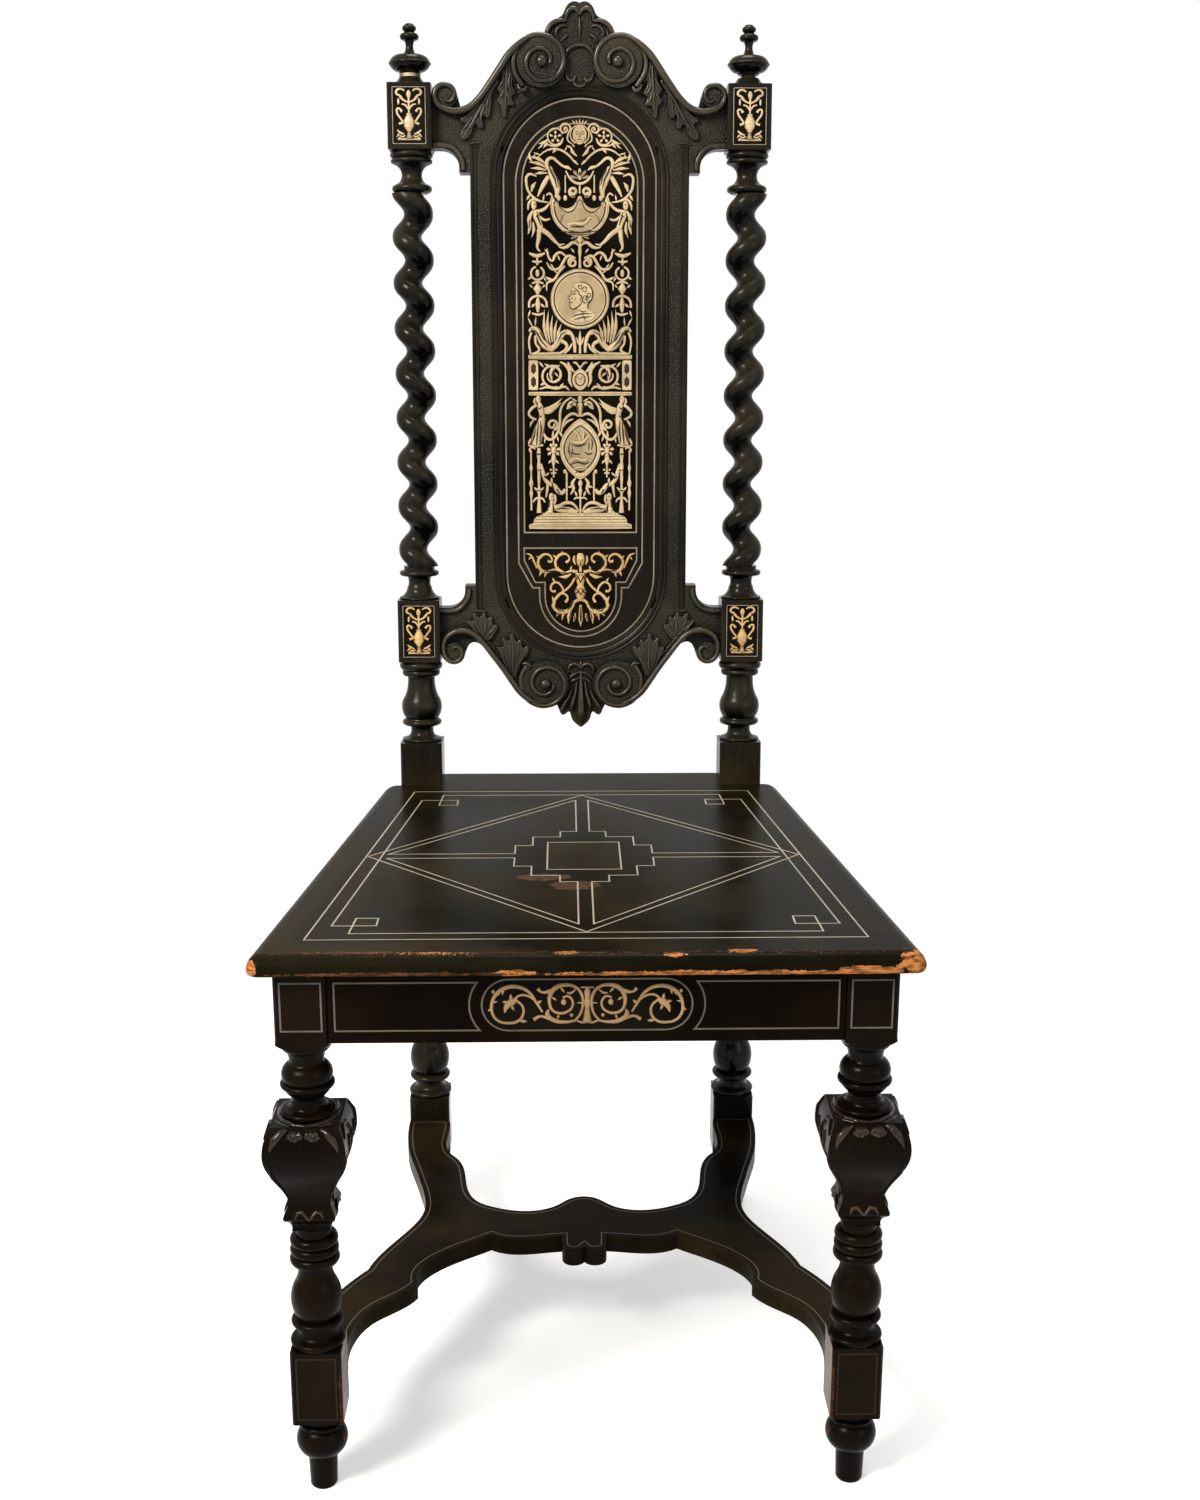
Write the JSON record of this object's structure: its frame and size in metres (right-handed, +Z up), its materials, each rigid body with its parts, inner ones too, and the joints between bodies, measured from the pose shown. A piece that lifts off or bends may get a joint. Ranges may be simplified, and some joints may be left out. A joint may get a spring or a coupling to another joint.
{
  "type": "hall chair",
  "caption": "Hall chair with barley-twist rear posts, carved arched back with an inlaid panel, bone-strung wooden seat and a shaped flat stretcher.",
  "frame": {"origin": "on the floor, under the middle of the chair's bounding box", "axes": "+Z up; the chair faces -Y; +X to the right seen from the front; the side-to-side symmetry plane is X = 0"},
  "size_m": [0.4976, 0.5469, 1.1813],
  "materials": {
    "ebonised_wood": "worn satin polish",
    "ebony_veneer": "satin",
    "bone": "satin",
    "yellowed_bone": "satin",
    "plain_wood": "matte",
    "screw_steel": "dull"
  },
  "bodies": {
    "root": {"apron_bone_lines": "bone", "apron_inlay_bone": "yellowed_bone", "apron_inlay_ground": "ebony_veneer", "back_dowels": "plain_wood", "back_panel": "ebonised_wood", "back_stile_left": "ebonised_wood", "back_stile_right": "ebonised_wood", "bottom_rail": "ebonised_wood", "corner_glue_blocks": "plain_wood", "crest_rail": "ebonised_wood", "finial_left": "ebonised_wood", "finial_right": "ebonised_wood", "finial_ring_left": "bone", "front_apron": "ebonised_wood", "front_leg_left": "ebonised_wood", "front_leg_right": "ebonised_wood", "leg_bone_lines": "bone", "lower_inlay_bone": "yellowed_bone", "lower_inlay_ground": "ebony_veneer", "main_inlay_bone": "bone", "main_inlay_ground": "ebony_veneer", "panel_bead": "ebonised_wood", "panel_bone_lines": "bone", "post_inlay_bone": "yellowed_bone", "post_inlay_grounds": "ebony_veneer", "rear_apron": "ebonised_wood", "rear_post_left": "ebonised_wood", "rear_post_right": "ebonised_wood", "seat_board": "ebonised_wood", "seat_bone_lines": "bone", "seat_screws": "screw_steel", "side_apron_left": "ebonised_wood", "side_apron_right": "ebonised_wood", "stretcher_bar": "ebonised_wood", "stretcher_dowels": "plain_wood", "stretcher_left": "ebonised_wood", "stretcher_right": "ebonised_wood"}
  },
  "joints": []
}
